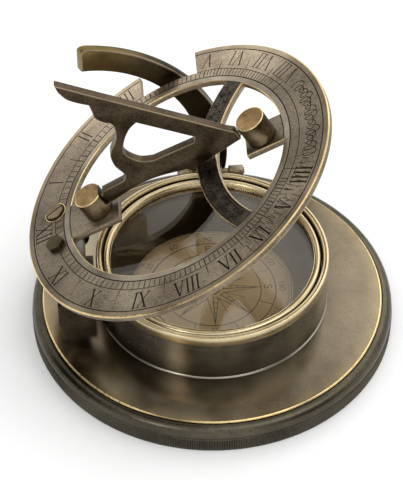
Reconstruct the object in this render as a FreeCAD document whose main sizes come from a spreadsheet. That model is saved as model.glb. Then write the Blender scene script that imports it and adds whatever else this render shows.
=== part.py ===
import FreeCAD, Part
import math
import os
import re

import Sketcher

# Folding equatorial sundial with a compass in its base.  Millimetres and degrees.
# Origin: centre of the underside.  +Z up, the dial's hinge line runs along Y at the -X side.
# The dial's own frame: origin at the centre of the ring's upper face, x away from the hinge,
# y along the hinge line, z out of the face.  The part is stored with the dial raised.

SIZES = {
    # base
    "rim_radius": 60.0, "rim_height": 9.2, "rim_crown": 56.7, "rim_round": 3.2,
    "rim_bore": 48.2, "recess_radius": 52.0, "recess_depth": 1.8,
    "flange_radius": 56.4, "flange_top": 9.8, "flange_thick": 2.0, "flange_bore": 38.2,
    "cover_radius": 51.9, "cover_screw_circle": 49.5, "cover_screw_head": 2.0, "cover_screw_shank": 1.0,
    # compass
    "case_radius": 38.06, "case_bore": 36.3, "case_bottom": 3.6, "case_floor": 5.3, "case_top": 24.9,
    "case_lip": 41.0, "case_lip_bottom": 6.0,
    "bezel_top": 28.3, "bezel_bore": 35.9, "shelf_bore": 33.8, "shelf_bottom": 23.2, "shelf_top": 24.2,
    "glass_radius": 35.8, "glass_thick": 1.5, "glass_gap": 0.05,
    "lip_radius": 33.2, "lip_top": 27.9,
    "card_radius": 27.0, "card_bottom": 10.3, "card_thick": 0.3, "card_hole": 1.95,
    "needle_radius": 0.8, "needle_shoulder": 9.0, "needle_tip": 11.9,
    "magnet_length": 36.0, "magnet_width": 5.0, "magnet_thick": 1.2,
    # dial hinge
    "pivot_x": -45.0, "pivot_z": 26.3, "pin_radius": 2.0, "pin_reach": 14.8, "pin_head": 3.0,
    "block_half": 11.2, "block_round": 3.7, "block_foot": 6.1, "block_shoulder": 18.0,
    "block_screw_head": 2.4, "block_screw_head_height": 1.4, "block_screw_bite": 6.0,
    "running_fit": 0.05,
    "leaf_half": 14.5, "leaf_gap": 11.5, "leaf_round": 5.2, "leaf_thick": 3.0, "leaf_toe": 8.5,
    # dial
    "dial_tilt": 28.86, "dial_reach": 46.9, "dial_rise": 16.8,
    "dial_radius": 53.9, "dial_bore": 38.35, "dial_thick": 2.2,
    "notch_left": -9.7, "notch_right": 11.3, "notch_floor": 43.5,
    "left_lug_half": 7.5, "left_lug_end": -20.5, "right_lug_end": 25.2, "right_lug_near": -5.5,
    "right_lug_far": 6.2, "lug_root": 1.5,
    "band_centre_x": 58.0, "band_centre_y": -2.0, "band_outer": 50.0, "band_inner": 43.0,
    "screw_x": -43.6, "screw_y": 7.3, "screw_head": 3.0, "screw_shank": 1.2, "screw_head_height": 0.9,
    "screw_slot": 0.5, "screw_slot_turn": 20.0,
    "left_post_x": -27.4, "left_post_height": 7.5, "right_post_x": 31.0, "right_post_height": 8.5,
    "post_radius": 4.75,
    # gnomon
    "gnomon_thick": 3.0, "gnomon_axis": 5.0, "gnomon_left": -23.3, "gnomon_right": 25.5,
    "trunnion_radius": 0.9, "trunnion_reach": 2.8, "trunnion_seat": 3.4, "seat_gap": 0.2,
    # latitude arc
    "arc_outer_x": -39.2, "arc_outer_z": 29.7, "arc_outer_radius": 47.7,
    "arc_inner_x": -36.4, "arc_inner_z": 34.1, "arc_inner_radius": 34.3,
    "arc_end_x": -40.1, "arc_foot_outer_z": 19.5, "arc_foot_inner_z": 22.0,
    "arc_near": 46.0, "arc_thick": 3.0, "arc_corner": 2.4,
    "stay_axis_y": 43.7, "stay_axis_z": 22.8, "knuckle_radius": 2.0, "knuckle_pin": 1.1,
    "ear_left": -8.4, "gap_left": -4.6, "gap_right": 8.8, "ear_right": 13.8, "stay_foot": 12.8,
}

BLOCK_SCREWS_Y = (-6, 6)
STAY_SCREWS_X = (-1, 5)

doc = FreeCAD.newDocument("EquatorialSundial")
sheet = doc.addObject("Spreadsheet::Sheet", "Sizes")
PARTS = []


def fill_sheet():
    for row, (alias, value) in enumerate(SIZES.items(), start=1):
        sheet.set(f"A{row}", alias)
        sheet.set(f"B{row}", str(value))
        sheet.setAlias(f"B{row}", alias)
    doc.recompute()


def bound(text):
    """An expression written with the sheet's aliases, as FreeCAD wants it."""
    return re.sub(r"[a-z_]+", lambda m: f"Sizes.{m[0]}" if m[0] in SIZES else m[0], str(text))


def value(text):
    result = sheet.evalExpression(bound(text))
    return float(getattr(result, "Value", result))


def bind(obj, **properties):
    for name, text in properties.items():
        obj.setExpression(name.replace("__", "."), bound(text))


def keep(obj, label):
    """Marks an object as a sub-part of that name."""
    obj.Label = label
    PARTS.append(obj)
    return obj


def place(obj, x="0", y="0", z="0", turn=None):
    if turn:
        axis, angle = turn
        obj.Placement = FreeCAD.Placement(FreeCAD.Vector(), FreeCAD.Rotation(FreeCAD.Vector(*axis), angle))
    bind(obj, Placement__Base__x=x, Placement__Base__y=y, Placement__Base__z=z)
    return obj


TO_Y = ((1, 0, 0), -90)
TO_X = ((0, 1, 0), 90)


def rod(name, radius, length, x="0", y="0", z="0", turn=None):
    obj = doc.addObject("Part::Cylinder", name)
    bind(obj, Radius=radius, Height=length)
    return place(obj, x, y, z, turn)


def block(name, low, high):
    """A box from one corner to the other, each corner three expressions."""
    obj = doc.addObject("Part::Box", name)
    sizes = [f"({top}) - ({bottom})" for bottom, top in zip(low, high)]
    bind(obj, Length=sizes[0], Width=sizes[1], Height=sizes[2])
    return place(obj, *low)


def joined(name, *shapes):
    obj = doc.addObject("Part::MultiFuse", name)
    obj.Shapes = list(shapes)
    return obj


def minus(name, base, *tools):
    obj = doc.addObject("Part::Cut", name)
    obj.Base = base
    obj.Tool = tools[0] if len(tools) == 1 else joined(name + "_tools", *tools)
    return obj


def common(name, first, second):
    obj = doc.addObject("Part::Common", name)
    obj.Base = first
    obj.Tool = second
    return obj


def origin_plane(body, role):
    return next(f for f in body.Origin.OriginFeatures if f.Role == role)


def sketch_on(body, name, role="XZ_Plane"):
    sketch = body.newObject("Sketcher::SketchObject", name)
    sketch.AttachmentSupport = [(origin_plane(body, role), "")]
    sketch.MapMode = "FlatFace"
    return sketch


def fix_point(sketch, line, axis, text, name):
    """Ties the start of a line to the sheet along one sketch axis."""
    if text == "0":
        sketch.addConstraint(Sketcher.Constraint("PointOnObject", line, 1, -2 if axis == "DistanceX" else -1))
        return
    index = sketch.addConstraint(Sketcher.Constraint(axis, -1, 1, line, 1, value(text)))
    sketch.renameConstraint(index, name)
    sketch.setExpression(f"Constraints.{name}", bound(text))


def polygon(sketch, corners):
    """A closed outline with every corner bound to the sheet."""
    points = [FreeCAD.Vector(value(u), value(v), 0) for u, v in corners]
    count = len(points)
    for i in range(count):
        sketch.addGeometry(Part.LineSegment(points[i], points[(i + 1) % count]))
    for i in range(count):
        sketch.addConstraint(Sketcher.Constraint("Coincident", i, 2, (i + 1) % count, 1))
    for i, (u, v) in enumerate(corners):
        fix_point(sketch, i, "DistanceX", u, f"across_{i}")
        fix_point(sketch, i, "DistanceY", v, f"up_{i}")


def turned(name, corners):
    """A body of revolution about Z from its half section (radius, height)."""
    body = doc.addObject("PartDesign::Body", name)
    sketch = sketch_on(body, name + "_section")
    polygon(sketch, corners)
    spin = body.newObject("PartDesign::Revolution", name + "_turned")
    spin.Profile = sketch
    spin.ReferenceAxis = (sketch, ["V_Axis"])
    spin.Angle = 360
    doc.recompute()
    return body


def circle_edges(feature, radius, height):
    """Names of a feature's circular edges about Z at one radius and height."""
    names = []
    for i, edge in enumerate(feature.Shape.Edges, start=1):
        curve = edge.Curve
        if isinstance(curve, Part.Circle) and abs(curve.Radius - radius) < 1e-4:
            if abs(curve.Center.z - height) < 1e-4:
                names.append(f"Edge{i}")
    return names


def rounded(body, radius, height, size, kind="PartDesign::Fillet"):
    """Rounds or chamfers one circular edge of a turned body."""
    last = body.Tip
    feature = body.newObject(kind, f"{body.Name}_{kind[12:].lower()}_{len(body.Group)}")
    feature.Base = (last, circle_edges(last, value(radius), value(height)))
    bind(feature, **{"Radius" if kind.endswith("Fillet") else "Size": size})
    doc.recompute()
    return body


def plate(name, draw, thickness, role="XZ_Plane"):
    """A plate of even thickness, centred on its own plane."""
    body = doc.addObject("PartDesign::Body", name)
    sketch = sketch_on(body, name + "_outline", role)
    draw(sketch)
    pad = body.newObject("PartDesign::Pad", name + "_plate")
    pad.Profile = sketch
    pad.Midplane = True
    bind(pad, Length=thickness)
    doc.recompute()
    return body


def curve(sketch, *points):
    """A smooth curve through points, or a straight line through two."""
    vectors = [FreeCAD.Vector(u, v, 0) for u, v in points]
    if len(vectors) == 2:
        sketch.addGeometry(Part.LineSegment(*vectors))
        return
    spline = Part.BSplineCurve()
    spline.interpolate(vectors)
    sketch.addGeometry(spline)


def on_dial(obj):
    """Carries an object from the dial's frame to its place on the raised dial."""
    tilt = "dial_tilt * 1deg"
    obj.Placement = FreeCAD.Placement(FreeCAD.Vector(), FreeCAD.Rotation(FreeCAD.Vector(0, -1, 0), 1.0))
    bind(obj, Placement__Rotation__Angle=tilt,
         Placement__Base__x=f"pivot_x + dial_reach * cos({tilt}) - dial_rise * sin({tilt})",
         Placement__Base__z=f"pivot_z + dial_reach * sin({tilt}) + dial_rise * cos({tilt})")
    return obj


# ---------------------------------------------------------------- base

def knurled_rim():
    body = turned("rim", [("recess_radius", "0"), ("rim_radius", "0"), ("rim_radius", "rim_height"),
                          ("rim_crown", "rim_height"), ("rim_crown", "flange_top - flange_thick"),
                          ("rim_bore", "flange_top - flange_thick"), ("rim_bore", "recess_depth"),
                          ("recess_radius", "recess_depth")])
    rounded(body, "rim_radius", "rim_height", "rim_round")
    holes = [cover_screw_rod(f"rim_hole_{i}", i, "cover_screw_shank", "5", "1") for i in range(4)]
    keep(minus("rim_drilled", body, *holes), "knurled_rim")


def cover_spot(index):
    """Where one of the four cover screws stands."""
    turn = f"{45 + 90 * index} * 1deg"
    return f"cover_screw_circle * cos({turn})", f"cover_screw_circle * sin({turn})"


def cover_screw_rod(name, index, radius, length, low):
    x, y = cover_spot(index)
    return rod(name, radius, length, x, y, low)


def bottom_cover():
    body = turned("cover", [("0", "0"), ("cover_radius", "0"), ("cover_radius", "recess_depth"),
                            ("0", "recess_depth")])
    tools = []
    for i in range(4):
        tools.append(cover_screw_rod(f"cover_sink_{i}", i, "cover_screw_head + 0.1", "1", "0"))
        tools.append(cover_screw_rod(f"cover_hole_{i}", i, "cover_screw_shank + 0.1", "recess_depth", "0"))
    keep(minus("cover_drilled", body, *tools), "bottom_cover")


def cover_screws():
    pieces = []
    for i in range(4):
        head = cover_screw_rod(f"cover_head_{i}", i, "cover_screw_head", "0.9", "0")
        shank = cover_screw_rod(f"cover_shank_{i}", i, "cover_screw_shank", "4", "0.9")
        screw = joined(f"cover_screw_{i}", head, shank)
        x, y = cover_spot(i)
        slot = block(f"cover_slot_{i}", (f"{x} - cover_screw_head", f"{y} - 0.25", "0"),
                     (f"{x} + cover_screw_head", f"{y} + 0.25", "0.4"))
        pieces.append(minus(f"cover_slotted_{i}", screw, slot))
    group = doc.addObject("Part::Compound", "cover_screw_group")
    group.Links = pieces
    keep(group, "cover_screws")


def flange_plate():
    body = turned("flange", [("flange_bore", "flange_top - flange_thick"),
                             ("flange_radius", "flange_top - flange_thick"),
                             ("flange_radius", "flange_top"), ("flange_bore", "flange_top")])
    rounded(body, "flange_radius", "flange_top", "0.4", "PartDesign::Chamfer")
    under = "flange_top - flange_thick - 1"
    holes = [rod(f"flange_hole_{i}", "screw_shank", "5", "pivot_x", str(y), under)
             for i, y in enumerate(BLOCK_SCREWS_Y)]
    holes += [rod(f"flange_stay_hole_{i}", "knuckle_pin", "5", str(x), "stay_axis_y", under)
              for i, x in enumerate(STAY_SCREWS_X)]
    keep(minus("flange_drilled", body, *holes), "flange_plate")


# ---------------------------------------------------------------- compass

def compass_case():
    body = turned("case", [("needle_radius", "case_bottom"), ("case_radius", "case_bottom"),
                           ("case_radius", "case_lip_bottom"), ("case_lip", "case_lip_bottom"),
                           ("case_lip", "flange_top - flange_thick"),
                           ("case_radius", "flange_top - flange_thick"), ("case_radius", "case_top"),
                           ("case_bore", "case_top"), ("case_bore", "case_floor"),
                           ("needle_radius", "case_floor")])
    keep(body, "compass_case")


def bezel_ring():
    body = turned("bezel", [("shelf_bore", "shelf_bottom"), ("case_bore - 0.05", "shelf_bottom"),
                            ("case_bore - 0.05", "case_top"), ("case_radius", "case_top"),
                            ("case_radius", "bezel_top"), ("bezel_bore", "bezel_top"),
                            ("bezel_bore", "shelf_top"), ("shelf_bore", "shelf_top")])
    rounded(body, "case_radius", "bezel_top", "0.5")
    rounded(body, "bezel_bore", "bezel_top", "0.3")
    keep(body, "bezel_ring")


def glass():
    low = "shelf_top + glass_gap"
    body = turned("window", [("0", low), ("glass_radius", low), ("glass_radius", f"{low} + glass_thick"),
                             ("0", f"{low} + glass_thick")])
    keep(body, "glass")


def retaining_ring():
    low = "shelf_top + glass_gap + glass_thick + glass_gap"
    body = turned("retainer", [("lip_radius", low), ("bezel_bore - 0.2", low),
                               ("bezel_bore - 0.2", "lip_top"), ("lip_radius", "lip_top")])
    rounded(body, "bezel_bore - 0.2", "lip_top", "0.7")
    rounded(body, "lip_radius", "lip_top", "0.6")
    keep(body, "retaining_ring")


def compass_card():
    card_top = "card_bottom + card_thick"
    keep(turned("card", [("card_hole", "card_bottom"), ("card_radius", "card_bottom"),
                         ("card_radius", card_top), ("card_hole", card_top)]), "compass_card")
    keep(turned("cap", [("0", "needle_tip + 0.2"), ("1.1", "card_bottom - 0.3"),
                        ("card_hole - 0.05", "card_bottom - 0.3"), ("card_hole - 0.05", f"{card_top} + 0.05"),
                        ("card_hole + 0.85", f"{card_top} + 0.05"), ("card_hole + 0.85", f"{card_top} + 0.9"),
                        ("card_hole - 0.5", f"{card_top} + 2.4"), ("0", f"{card_top} + 2.8")]), "card_cap")
    half_length, half_width = "magnet_length / 2", "magnet_width / 2"
    bar = block("magnet_bar", (f"-{half_length}", f"-{half_width}", "card_bottom - 0.05 - magnet_thick"),
                (half_length, half_width, "card_bottom - 0.05"))
    eye = rod("magnet_eye", "card_hole + 0.1", "magnet_thick + 2", z="card_bottom - 1 - magnet_thick")
    keep(minus("magnet_pierced", bar, eye), "card_magnet")
    keep(turned("needle", [("0", "case_bottom"), ("needle_radius", "case_bottom"),
                           ("needle_radius", "needle_shoulder"), ("0.15", "needle_tip - 0.3"),
                           ("0", "needle_tip")]), "pivot_needle")


# ---------------------------------------------------------------- dial hinge

def hinge_block():
    width = "2 * block_half"
    base = block("block_base", ("pivot_x - block_foot", "-block_half", "flange_top"),
                 ("pivot_x + block_foot", "block_half", "block_shoulder"))
    neck = block("block_neck", ("pivot_x - block_round", "-block_half", "block_shoulder - 1"),
                 ("pivot_x + block_round", "block_half", "pivot_z"))
    head = rod("block_head", "block_round", width, "pivot_x", "-block_half", "pivot_z", TO_Y)
    bore = rod("block_bore", "pin_radius", f"{width} + 2", "pivot_x", "-block_half - 1", "pivot_z", TO_Y)
    holes = [rod(f"block_hole_{i}", "screw_shank", "8", "pivot_x", str(y), "flange_top - 1")
             for i, y in enumerate(BLOCK_SCREWS_Y)]
    keep(minus("block_bored", joined("block_body", base, neck, head), bore, *holes), "hinge_block")


def block_screws():
    pieces = []
    under = "flange_top - flange_thick"
    for i, y in enumerate(BLOCK_SCREWS_Y):
        head = rod(f"block_head_{i}", "block_screw_head", "block_screw_head_height", "pivot_x", str(y),
                   f"{under} - block_screw_head_height")
        shank = rod(f"block_shank_{i}", "screw_shank", "flange_thick + block_screw_bite", "pivot_x", str(y),
                    under)
        pieces.append(joined(f"block_screw_{i}", head, shank))
    group = doc.addObject("Part::Compound", "block_screw_group")
    group.Links = pieces
    keep(group, "hinge_block_screws")


def hinge_pin():
    shaft = rod("pin_shaft", "pin_radius", "2 * pin_reach", "pivot_x", "-pin_reach", "pivot_z", TO_Y)
    heads = [rod(f"pin_head_{i}", "pin_head", "0.8", "pivot_x", y, "pivot_z", TO_Y)
             for i, y in enumerate(("-pin_reach - 0.8", "pin_reach"))]
    keep(joined("pin", shaft, *heads), "hinge_pin")


def hinge_leaf():
    """The casting screwed under the dial: a plate with two round cheeks about the hinge pin."""
    left, right = "-dial_reach - leaf_round", "leaf_round - dial_reach"

    def draw(sketch):
        under, level = value("-dial_thick"), value("-dial_rise")
        edge_left, edge_right = value(left), value(right)
        toe = value("screw_x - leaf_toe")
        curve(sketch, (toe, under), (edge_right, under))
        curve(sketch, (edge_right, under), (edge_right, level))
        circle = Part.Circle(FreeCAD.Vector(value("-dial_reach"), level, 0), FreeCAD.Vector(0, 0, 1),
                             value("leaf_round"))
        sketch.addGeometry(Part.ArcOfCircle(circle, math.pi, 2 * math.pi))
        curve(sketch, (edge_left, level), (toe, under))

    body = plate("leaf", draw, "2 * leaf_half")
    slot = block("leaf_slot", (f"{left} - 1", "-leaf_gap", "-dial_rise - leaf_round - 1"),
                 (f"{right} + 1", "leaf_gap", "-dial_thick - leaf_thick"))
    bore = rod("leaf_bore", "pin_radius + running_fit", "2 * leaf_half + 2", "-dial_reach",
               "-leaf_half - 1", "-dial_rise", TO_Y)
    holes = [rod(f"leaf_hole_{i}", "screw_shank", "8", "screw_x", y, "-dial_thick - leaf_thick - 1")
             for i, y in enumerate(("-screw_y", "screw_y"))]
    keep(on_dial(minus("leaf_cut", body, slot, bore, *holes)), "hinge_leaf")


def leaf_screws():
    """One slotted round head and one hexagon head, as the dial's two leaf screws are not a pair."""
    length = "dial_thick + leaf_thick"
    shank = rod("slotted_shank", "screw_shank", length, "screw_x", "screw_y", f"-({length})")
    head = rod("slotted_head", "screw_head", "screw_head_height", "screw_x", "screw_y")
    slot = doc.addObject("Part::Box", "slotted_slot")
    bind(slot, Length="2 * screw_head", Width="screw_slot", Height="screw_head_height")
    turn = "screw_slot_turn * 1deg"
    place(slot, f"screw_x - screw_head * cos({turn}) + screw_slot / 2 * sin({turn})",
          f"screw_y - screw_head * sin({turn}) - screw_slot / 2 * cos({turn})", "screw_head_height * 0.6",
          ((0, 0, 1), 1))
    bind(slot, Placement__Rotation__Angle=turn)
    keep(on_dial(minus("slotted", joined("slotted_body", shank, head), slot)), "slotted_leaf_screw")

    prism = doc.addObject("Part::Prism", "hexagon_head")
    prism.Polygon = 6
    bind(prism, Circumradius="screw_head + 0.2", Height="screw_head_height + 0.7")
    place(prism, "screw_x", "-screw_y")
    shank = rod("hexagon_shank", "screw_shank", length, "screw_x", "-screw_y", f"-({length})")
    keep(on_dial(joined("hexagon", prism, shank)), "hexagon_leaf_screw")


# ---------------------------------------------------------------- dial

def hour_ring():
    """Ring, lugs and the curved cross band are one casting."""
    low = "-dial_thick"
    ring = minus("ring_blank", rod("ring_disc", "dial_radius", "dial_thick", z=low),
                 rod("ring_bore", "dial_bore", "dial_thick", z=low))
    left = block("left_lug", ("-dial_bore - lug_root", "-left_lug_half", low),
                 ("left_lug_end", "left_lug_half", "0"))
    right = block("right_lug", ("right_lug_end", "right_lug_near", low),
                  ("dial_bore + lug_root", "right_lug_far", "0"))
    centre = ("band_centre_x", "band_centre_y", low)
    sweep = minus("band_sweep", rod("band_disc", "band_outer", "dial_thick", *centre),
                  rod("band_bore", "band_inner", "dial_thick", *centre))
    band = common("band", sweep, rod("band_limit", "dial_bore + 0.5", "dial_thick", z=low))
    opening = minus("notch", block("notch_block", ("notch_left", "0", f"{low} - 1"),
                                   ("notch_right", "dial_radius + 1", "1")),
                    rod("notch_curve", "notch_floor", "dial_thick + 2", z=f"{low} - 1"))
    tools = [opening]
    for i, y in enumerate(("-screw_y", "screw_y")):
        tools.append(rod(f"ring_screw_hole_{i}", "screw_shank", "dial_thick + 2", "screw_x", y, f"{low} - 1"))
    for i, x in enumerate(("left_post_x", "right_post_x")):
        tools.append(rod(f"ring_post_hole_{i}", "post_radius / 2", "dial_thick + 2", x, "0", f"{low} - 1"))
    keep(on_dial(minus("dial", joined("dial_body", ring, left, right, band), *tools)), "hour_ring")


def post(label, x, height, pocket_from, bore_from):
    """A round post riveted through its lug, with a round seat for the end of the gnomon."""
    knob = rod(f"{label}_knob", "post_radius", height, x)
    tail = rod(f"{label}_tail", "post_radius / 2", "dial_thick", x, z="-dial_thick")
    rivet = rod(f"{label}_rivet", "post_radius / 2 + 0.8", "0.7", x, z="-dial_thick - 0.7")
    seat = rod(f"{label}_seat", "trunnion_seat", "4", pocket_from, "0", "gnomon_axis", TO_X)
    bore = rod(f"{label}_bore", "trunnion_radius + running_fit", "8", bore_from, "0", "gnomon_axis", TO_X)
    keep(on_dial(minus(f"{label}_cut", joined(f"{label}_body", knob, tail, rivet), seat, bore)), label)


def gnomon_outline(sketch):
    """The style slopes from the tip to the right-hand end, and an S-shaped leg carries its tip."""
    left, right = value("gnomon_left"), value("gnomon_right")
    tip, heel, nose = (-11.8, 52.5), (23.6, 8.8), (right, 7.0)
    under_tip, cusp, waist = (-12.2, 49.8), (-7.0, 40.4), (-5.3, 30.7)
    leg_foot, bar_end = (-14.2, 7.7), (left, 4.6)
    curve(sketch, tip, heel)
    curve(sketch, heel, nose)
    curve(sketch, nose, (right, 3.6))
    curve(sketch, (right, 3.6), (8.4, 0.6))
    curve(sketch, (8.4, 0.6), (7.2, -1.4))
    curve(sketch, (7.2, -1.4), (5.1, 1.4))
    curve(sketch, (5.1, 1.4), (-3.0, 3.3), (-9.7, 3.8), (-15.4, 3.0), (-21.3, 1.9))
    curve(sketch, (-21.3, 1.9), (left, 2.4))
    curve(sketch, (left, 2.4), bar_end)
    curve(sketch, bar_end, (left + 1.2, 7.2))
    curve(sketch, (left + 1.2, 7.2), leg_foot)
    curve(sketch, leg_foot, (-12.4, 9.8), (-13.1, 14.9), (-11.6, 20.0), (-7.2, 24.2), (-5.1, 28.6), waist)
    curve(sketch, waist, (-6.7, 32.0), (-8.1, 34.9), (-7.7, 37.1), cusp)
    curve(sketch, cusp, (-9.5, 43.1), (-11.5, 46.1), under_tip)
    curve(sketch, under_tip, tip)
    peak, corner, floor_left = (1.6, 26.7), (13.8, 12.0), (-1.7, 10.3)
    curve(sketch, peak, corner)
    curve(sketch, corner, (12.3, 10.1))
    curve(sketch, (12.3, 10.1), floor_left)
    curve(sketch, floor_left, (-5.6, 12.4), (-7.8, 17.6), (-5.4, 22.0), (-1.6, 25.4), peak)


def gnomon():
    body = plate("gnomon_body", gnomon_outline, "gnomon_thick")
    bores = [rod("gnomon_bore_left", "trunnion_radius", "4", "gnomon_left", "0", "gnomon_axis", TO_X),
             rod("gnomon_bore_right", "trunnion_radius", "4", "gnomon_right - 4", "0", "gnomon_axis", TO_X)]
    keep(on_dial(minus("gnomon_bored", body, *bores)), "gnomon")
    length = "4 + trunnion_reach"
    pins = doc.addObject("Part::Compound", "trunnion_pair")
    pins.Links = [rod("trunnion_left", "trunnion_radius", length, "gnomon_left - trunnion_reach", "0",
                      "gnomon_axis", TO_X),
                  rod("trunnion_right", "trunnion_radius", length, "gnomon_right - 4", "0",
                      "gnomon_axis", TO_X)]
    keep(on_dial(pins), "gnomon_trunnions")


# ---------------------------------------------------------------- latitude arc

def arc_outline(sketch):
    end_x = value("arc_end_x")
    ends = []
    for side in ("outer", "inner"):
        x, z, radius = (value(f"arc_{side}_{key}") for key in ("x", "z", "radius"))
        foot = math.asin((value(f"arc_foot_{side}_z") - z) / radius)
        top = math.acos((end_x - x) / radius)
        circle = Part.Circle(FreeCAD.Vector(x, z, 0), FreeCAD.Vector(0, 0, 1), radius)
        sketch.addGeometry(Part.ArcOfCircle(circle, foot, top))
        ends.append([(x + radius * math.cos(a), z + radius * math.sin(a)) for a in (foot, top)])
    curve(sketch, ends[0][0], ends[1][0])
    curve(sketch, ends[0][1], ends[1][1])


def edges_across(feature, x, z):
    """Names of a feature's straight edges along Y through one point of the XZ plane."""
    names = []
    for i, edge in enumerate(feature.Shape.Edges, start=1):
        if all(math.hypot(v.X - x, v.Z - z) < 1e-4 for v in edge.Vertexes):
            names.append(f"Edge{i}")
    return names


def latitude_arc():
    blade = plate("arc_blade", arc_outline, "arc_thick")
    end_x, centre_x, centre_z, radius = (value(f"arc_{key}") for key in ("end_x", "outer_x", "outer_z",
                                                                        "outer_radius"))
    end_z = centre_z + math.sqrt(radius ** 2 - (end_x - centre_x) ** 2)
    pad = blade.Tip
    corner = blade.newObject("PartDesign::Fillet", "arc_corner_round")
    corner.Base = (pad, edges_across(pad, end_x, end_z))
    bind(corner, Radius="arc_corner")
    doc.recompute()
    place(blade, y="arc_near + arc_thick / 2")
    left, right = "gap_left + 0.6", "gap_right - 2.4"
    length = f"({right}) - ({left})"
    knuckle = rod("arc_knuckle", "knuckle_radius", length, left, "stay_axis_y", "stay_axis_z", TO_X)
    link = block("arc_link", (left, "stay_axis_y", "stay_axis_z - knuckle_radius"),
                 (right, "arc_near + 1", "stay_axis_z + knuckle_radius"))
    bore = rod("arc_bore", "knuckle_pin + running_fit", f"{length} + 2", f"{left} - 1", "stay_axis_y",
               "stay_axis_z", TO_X)
    keep(minus("arc_bored", joined("arc_body", blade, link, knuckle), bore), "latitude_arc")


def arc_bracket():
    near, far = "stay_axis_y - knuckle_radius", "stay_axis_y + knuckle_radius"
    pieces = [block("stay_foot_block", ("ear_left", near, "flange_top"),
                    ("ear_right", f"{far} + 1.2", "stay_foot"))]
    for side, left, right in (("left", "ear_left", "gap_left"), ("right", "gap_right", "ear_right")):
        pieces.append(block(f"stay_ear_{side}", (left, near, "stay_foot - 1"), (right, far, "stay_axis_z")))
        pieces.append(rod(f"stay_knuckle_{side}", "knuckle_radius", f"({right}) - ({left})", left,
                          "stay_axis_y", "stay_axis_z", TO_X))
    bore = rod("stay_bore", "knuckle_pin", "ear_right - ear_left + 2", "ear_left - 1", "stay_axis_y",
               "stay_axis_z", TO_X)
    holes = [rod(f"stay_hole_{i}", "knuckle_pin", "5", str(x), "stay_axis_y", "flange_top - 1")
             for i, x in enumerate(STAY_SCREWS_X)]
    keep(minus("stay", joined("stay_body", *pieces), bore, *holes), "arc_bracket")
    keep(rod("stay_pin", "knuckle_pin", "ear_right - ear_left + 0.8", "ear_left - 0.4", "stay_axis_y",
             "stay_axis_z", TO_X), "arc_hinge_pin")
    screws = []
    for i, x in enumerate(STAY_SCREWS_X):
        shank = rod(f"stay_screw_shank_{i}", "knuckle_pin", "stay_foot - flange_top + flange_thick", str(x),
                    "stay_axis_y", "flange_top - flange_thick")
        head = rod(f"stay_screw_head_{i}", "knuckle_pin + 0.8", "1.2", str(x), "stay_axis_y", "stay_foot")
        screws.append(joined(f"stay_screw_{i}", shank, head))
    group = doc.addObject("Part::Compound", "stay_screw_group")
    group.Links = screws
    keep(group, "arc_bracket_screws")


# ---------------------------------------------------------------- the whole part

def check():
    doc.recompute()
    for obj in doc.Objects:
        if "Invalid" in obj.State or "Error" in obj.State:
            raise RuntimeError(f"{obj.Name} ({obj.Label}) failed: {obj.State}")
    for obj in PARTS:
        if obj.Shape.isNull() or not obj.Shape.isValid() or not obj.Shape.Solids:
            raise RuntimeError(f"{obj.Label} has no valid solid")


def main():
    fill_sheet()
    for build in (knurled_rim, bottom_cover, cover_screws, flange_plate, compass_case, bezel_ring, glass,
                  retaining_ring, compass_card, hinge_block, block_screws, hinge_pin, hinge_leaf,
                  leaf_screws, hour_ring):
        build()
    post("left_post", "left_post_x", "left_post_height", "gnomon_left - seat_gap",
         "gnomon_left - trunnion_reach - 0.3")
    post("right_post", "right_post_x", "right_post_height", "gnomon_right - 3.6",
         "gnomon_right + trunnion_reach - 7.7")
    gnomon()
    latitude_arc()
    arc_bracket()
    check()
    os.makedirs("parts", exist_ok=True)
    for obj in PARTS:
        obj.Shape.exportStep(f"parts/{obj.Label}.step")
        print(f"{obj.Label}: {len(obj.Shape.Solids)} solid(s), {obj.Shape.Volume:.1f} mm3")


main()
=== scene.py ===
import math

import bmesh
import bpy
from mathutils import Matrix, Vector
from mathutils.geometry import tessellate_polygon


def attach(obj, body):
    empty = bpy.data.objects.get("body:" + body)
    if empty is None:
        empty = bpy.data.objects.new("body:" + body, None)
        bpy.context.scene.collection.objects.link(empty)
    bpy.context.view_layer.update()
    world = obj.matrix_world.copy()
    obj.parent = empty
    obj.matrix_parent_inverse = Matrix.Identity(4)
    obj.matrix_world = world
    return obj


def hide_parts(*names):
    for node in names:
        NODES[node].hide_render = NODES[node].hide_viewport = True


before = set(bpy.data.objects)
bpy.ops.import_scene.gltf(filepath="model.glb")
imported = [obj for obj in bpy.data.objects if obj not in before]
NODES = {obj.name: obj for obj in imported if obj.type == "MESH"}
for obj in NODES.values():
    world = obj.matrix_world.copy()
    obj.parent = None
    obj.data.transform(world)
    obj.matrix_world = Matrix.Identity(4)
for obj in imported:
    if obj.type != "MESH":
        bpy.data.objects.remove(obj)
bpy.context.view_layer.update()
MM = 0.001

# Sizes in millimetres, as in the CAD source.
RIM, CROWN, FLANGE, FLANGE_TOP = 60.0, 56.7, 56.4, 9.8
WALL, CASE_TOP, BEZEL_TOP, BEZEL_BORE = 38.06, 24.9, 28.3, 35.9
PIVOT_X, PIVOT_Z, REACH, RISE = -45.0, 26.3, 46.9, 16.8
TILT = math.radians(28.86)
DIAL, DIAL_BORE, DIAL_THICK = 53.9, 38.35, 2.2
KNURL_LOW, KNURL_HIGH, KNURL_TEETH, KNURL_DEPTH = 0.3, 4.7, 480, 0.34
CARD_HOLE, CARD_RADIUS, CARD_BOTTOM, CARD_TOP = 1.95, 27.0, 10.3, 10.6
NOTCH_LEFT, NOTCH_RIGHT, NOTCH_FLOOR, NOTCH_BEYOND = -9.7, 11.3, 43.5, 56
BAND_CENTRE, BAND_INNER, BAND_OUTER = (58.0, -2.0), 43, 50
SLOTTED, SLOTTED_GROOVE = (-43.6, 7.3), 3.32
POST, AXIS_H = 4.75, 5.0
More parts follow.
